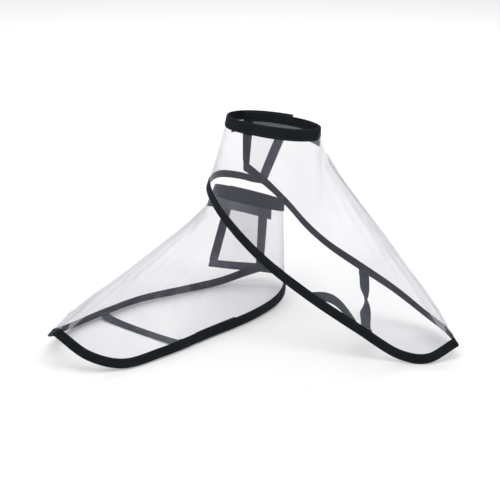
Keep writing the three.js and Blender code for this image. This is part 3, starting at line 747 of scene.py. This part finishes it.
def back_rows(side, margin=0.4):
    """Rows over the upright binding's leg: one column per height, found by distance from the rear edge."""
    count = 40
    clear = margin / side.height[-1]
    t = np.linspace(side.low[-1] + clear, 1 - side.high[-1] - clear, count)
    p, n = side.rows(t)
    spacing = np.linalg.norm(p[-1] - p[-2], axis=-1)
    column = side.columns - 1 - BACK_BINDING_WIDTH * np.linspace(1, 0, LEG_POINTS)[:, None] / spacing
    column = np.clip(column, 0, side.columns - 1.001)
    i = np.floor(column).astype(int)
    j = np.arange(count)[None]
    blend = (column - i)[..., None]
    rows = [lerp(a[i, j], a[i + 1, j], blend).transpose(1, 0, 2) for a in (p, n)]
    return rows[0], unit(rows[1])


# %% [markdown]
# ## The stitching
# A row of straight stitches runs along every leg, a fifth of its width from its inner edge. One stitch is a short
# rounded rod whose ends dive into the tape. It has few faces because there are hundreds.

# %% Stitches
STITCH_PITCH = 3.3
STITCH_HALF = 1.15
STITCH_RADIUS = 0.27
STITCH_SIDES = 6
STITCH_RINGS = np.array([-1.0, -0.7, 0.0, 0.7, 1.0])
STITCH_INSET = 0.2


def stitch_row(p, n, face):
    """Rods along the path a fifth of the way into the leg: rings along x, turned round it by an angle."""
    k = STITCH_INSET * (p.shape[1] - 1)
    low, blend = int(k), k - int(k)
    path = lerp(p[:, low], p[:, low + 1], blend)
    normal = unit(lerp(n[:, low], n[:, low + 1], blend)) * face
    length = running(path)
    at = np.arange(STITCH_PITCH, length[-1] - STITCH_PITCH, STITCH_PITCH)
    sample = lambda a, s: np.stack([np.interp(s, length, a[:, c]) for c in range(3)], axis=-1)
    middle, up = sample(path, at), unit(sample(normal, at))
    forward = unit(sample(path, at + 1) - sample(path, at - 1))
    side = np.cross(up, forward)
    angle = np.linspace(0, 2 * np.pi, STITCH_SIDES, endpoint=False)
    radius = STITCH_RADIUS * np.sqrt(np.maximum(1 - STITCH_RINGS**2, 0.04))
    drop = FOLD_OUTER + 0.04 - 0.3 * STITCH_RINGS**4
    ring = lambda values: values[None, :, None, None]
    rods = (
        middle[:, None, None]
        + forward[:, None, None] * ring(STITCH_RINGS * STITCH_HALF)
        + up[:, None, None] * (ring(drop) + ring(radius) * np.sin(angle)[None, None, :, None])
        + side[:, None, None] * ring(radius) * np.cos(angle)[None, None, :, None]
    )
    count, rings = len(at), len(STITCH_RINGS)
    n0 = np.arange(rings * STITCH_SIDES).reshape(rings, STITCH_SIDES)
    n1 = np.roll(n0, -1, axis=1)
    one = np.stack([n0[:-1], n1[:-1], n1[1:], n0[1:]], axis=-1).reshape(-1, 4)
    caps = np.array([[0, 1, 2, 3], [0, 3, 4, 5]])
    one = np.concatenate([one, caps[:, ::-1], caps + (rings - 1) * STITCH_SIDES])
    faces = (one[None] + np.arange(count)[:, None, None] * rings * STITCH_SIDES).reshape(-1, 4)
    points = rods.reshape(-1, 3)
    lengths = np.arange(rings * STITCH_SIDES)[None, :, None] * 0.3
    lengths = np.broadcast_to(lengths, (count, rings * STITCH_SIDES, 3))
    return points, faces, lengths.reshape(-1, 3)


# %% [markdown]
# The long tapes run on from the cover to its flap. Behind the heel the flap lies over the lapped side,
# too close for one bend to tell them apart, so each long tape is made in two pieces that meet on the
# lapping side before the hinge. Only the second piece goes to the hinge step, which leaves its shape as it is.

# %% Bindings and their stitches
CUT_BEFORE_HINGE = 20


def cut_at_hinge(rows):
    """The rows up to a cut a few columns before the hinge, and the rows from the cut to the end."""
    cut = len(rows[0]) - 1 - HEEL_COLUMNS - CUT_BEFORE_HINGE
    return tuple(a[: cut + 1] for a in rows), tuple(a[cut:] for a in rows)


for shape in (LEFT, RIGHT):
    lapping, lapped = sides[shape["name"]]
    sole, flap_sole = cut_at_hinge(round_both(sole_rows, lapping, lapped))
    collar, flap_collar = cut_at_hinge(round_both(collar_rows, lapping, lapped))
    edges = {
        "sole_binding": (sole, "cover"),
        "flap_sole_binding": (flap_sole, "both"),
        "collar_binding": (collar, "cover"),
        "flap_collar_binding": (flap_collar, "both"),
        "lapped_back_binding": (back_rows(lapped), "cover"),
        "flap_back_binding": (back_rows(lapping), "flap"),
    }
    for edge, ((p, n), body) in edges.items():
        name = f"{shape['name']}_{edge}"
        make_piece(shape, f"{name}_tape", [folded(p, n)], BINDING, body, [edge])
        rows = [stitch_row(p, n, 1), stitch_row(p, n, -1)]
        make_piece(shape, f"{name}_stitches", rows, THREAD, body, [])

# %% [markdown]
# ## The front seam
# A folded strip of paler vinyl covers the join, one leg on each side. The two legs meet on the ridge
# and are welded to the sheets, so the strip carries no thread.

# %% Seam strip
SEAM_FROM, SEAM_TO = 0.05, 0.9
LEG_STEPS = 6


def seam_strip(lapping, lapped):
    """Two skins over both sides' top rows: up one leg, over the ridge and down the other."""
    span = slice(int(SEAM_FROM * SEAM_COLUMNS), int(SEAM_TO * SEAM_COLUMNS))
    legs = [side.rows(1 - side.high[:, None] * np.linspace(1, 0.06, LEG_STEPS)) for side in (lapping, lapped)]
    (p, n), (q, m) = [(a[span], b[span]) for a, b in legs]
    middle = p[:, -1:] * 0.5 + q[:, -1:] * 0.5
    between = unit(n[:, -1:] + m[:, -1:])
    reach = 1 / np.maximum((between * n[:, -1:]).sum(-1, keepdims=True), 0.5)

    def skin(depth):
        ridge = middle + between * depth * reach
        return np.concatenate([p + n * depth, ridge, (q + m * depth)[:, ::-1]], axis=1)

    under = SHEET / 2 + CLEARANCE
    return slab_arrays(skin(under + SHEET), skin(under))


for shape in (LEFT, RIGHT):
    strip = seam_strip(*sides[shape["name"]])
    name = f"{shape['name']}_front_seam"
    make_piece(shape, f"{name}_strip_cover", [strip], SEAM_VINYL, "cover", ["front_seam_strip"])

# %% [markdown]
# ## Hook tape and loop tape
# Two flat tapes close the cover behind the heel. The hook tape is inside the flap, the loop tape
# outside the lapped side, both just under the collar binding.

# %% Fasteners
def fastener(side, face, tape_length):
    """A patch between two distances from the rear edge and two depths under the collar binding."""
    rim = side.points(np.array([1.0]))[:, 0]
    from_rear = running(rim[::-1])[::-1]
    rear = BACK_BINDING_WIDTH + FASTENER_INSET
    wanted = np.linspace(rear + tape_length, rear, 60)
    column = np.interp(-wanted, -from_rear, np.arange(side.columns))
    top = 1 - side.high - 2 * CLEARANCE / side.height
    down = np.linspace(0, FASTENER_HEIGHT, 12)
    p, n = side.rows(top[:, None] - down / side.height[:, None])
    p, n = pick(p, column), unit(pick(n, column)) * face
    near = SHEET / 2 + CLEARANCE * 1.2
    return slab_arrays(p + n * (near + FASTENER_THICKNESS), p + n * near)


for shape in (LEFT, RIGHT):
    lapping, lapped = sides[shape["name"]]
    name = shape["name"]
    make_piece(
        shape, f"{name}_hook_tape_strip", [fastener(lapping, -1, HOOK_LENGTH)], HOOKS, "flap",
        ["flap_hook_tape"],
    )
    make_piece(
        shape, f"{name}_loop_tape_strip", [fastener(lapped, 1, LOOP_LENGTH)], LOOPS, "cover",
        ["loop_tape"],
    )

# %% [markdown]
# ## The elastic
# A strap crosses the open sole from one sewn end to the other. The right one hangs with half a twist.
# A second, shorter piece is sewn along the lapping side's binding as a loop.

# %% Strap and side loop
WEBBING_NEAR = FOLD_OUTER + 2 * CLEARANCE
WEBBING_FAR = WEBBING_NEAR + STRAP_THICKNESS
STRAP_STEPS = 120
STRAP_COLUMNS = 11


def sole_strap(shape, lapping, lapped):
    """A flat section carried along a curve between two sewn ends, turned about it by an eased twist."""
    bow = (STRAP_WIDTH / 2) ** 2 / (2 * STRAP_EDGE_RADIUS)
    depth = -(WEBBING_NEAR + WEBBING_FAR) / 2 - bow
    sewn, crossing = SOLE_BINDING_WIDTH - 1, STRAP_THICKNESS * 2

    def anchor(side, share, height):
        column = np.array([side.column_at(share * COVER_HALF)])
        p, n = side.rows(height / side.height[:, None])
        return (pick(p, column) + unit(pick(n, column)) * depth)[0, 0]

    def edge_along(side, share):
        column = side.column_at(share * COVER_HALF)
        a, b = pick(side.foot, np.array([column - 2, column + 2]))
        return unit(a - b)

    lapping_at, lapped_at = shape["strap_at"]
    ends = [anchor(lapped, lapped_at, h) for h in (sewn, (sewn + crossing) / 2, crossing)]
    other = [anchor(lapping, lapping_at, h) for h in (crossing, (sewn + crossing) / 2, sewn)]
    path = through([*ends[:2], lerp(ends[2], other[0], 0.06), lerp(ends[2], other[0], 0.94), *other[1:]])
    t = np.linspace(0, 1, STRAP_STEPS)
    centre = at_share(path, t)
    tangent = unit(np.gradient(centre, axis=0))
    across = lerp(edge_along(lapped, lapped_at), edge_along(lapping, lapping_at), t[:, None])
    across = unit(across - tangent * (across * tangent).sum(-1, keepdims=True))
    turn = np.radians(shape["strap_twist"] * ease(t, 0.2, 0.8))[:, None]
    across = across * np.cos(turn) + np.cross(tangent, across) * np.sin(turn)
    face = np.cross(tangent, across)
    w = np.linspace(-1, 1, STRAP_COLUMNS)[None, :, None]
    half = STRAP_THICKNESS / 2 * np.sqrt(1 - 0.85 * w**6)
    flat = centre[:, None] + across[:, None] * w * STRAP_WIDTH / 2
    return slab_arrays(flat + face[:, None] * half, flat - face[:, None] * half)


def side_loop(shape, lapping):
    """A band along the sole binding's inner leg whose height adds an arch of sin(pi s)."""
    start, end = (lapping.column_at(x * COVER_HALF) for x in shape["loop_at"])
    column = np.linspace(start, end, 80)
    s = (column - start) / (end - start)
    centre = LOOP_CENTRE + shape["loop_rise"] * np.sin(np.pi * s)
    w = np.linspace(-1, 1, STRAP_COLUMNS)
    height = centre[:, None] + w * (STRAP_WIDTH / 2 - 1)
    rise = np.stack([np.interp(np.arange(lapping.columns), column, h) for h in height.T], axis=-1)
    p, n = lapping.rows(rise / lapping.height[:, None])
    p, n = pick(p, column), unit(pick(n, column))
    return slab_arrays(p - n * WEBBING_NEAR, p - n * WEBBING_FAR)


for shape in (LEFT, RIGHT):
    lapping, lapped = sides[shape["name"]]
    name = shape["name"]
    strap = sole_strap(shape, lapping, lapped)
    make_piece(shape, f"{name}_sole_elastic", [strap], ELASTIC, "cover", ["sole_strap"])
    loop = side_loop(shape, lapping)
    make_piece(shape, f"{name}_side_elastic", [loop], ELASTIC, "cover", ["side_loop"])
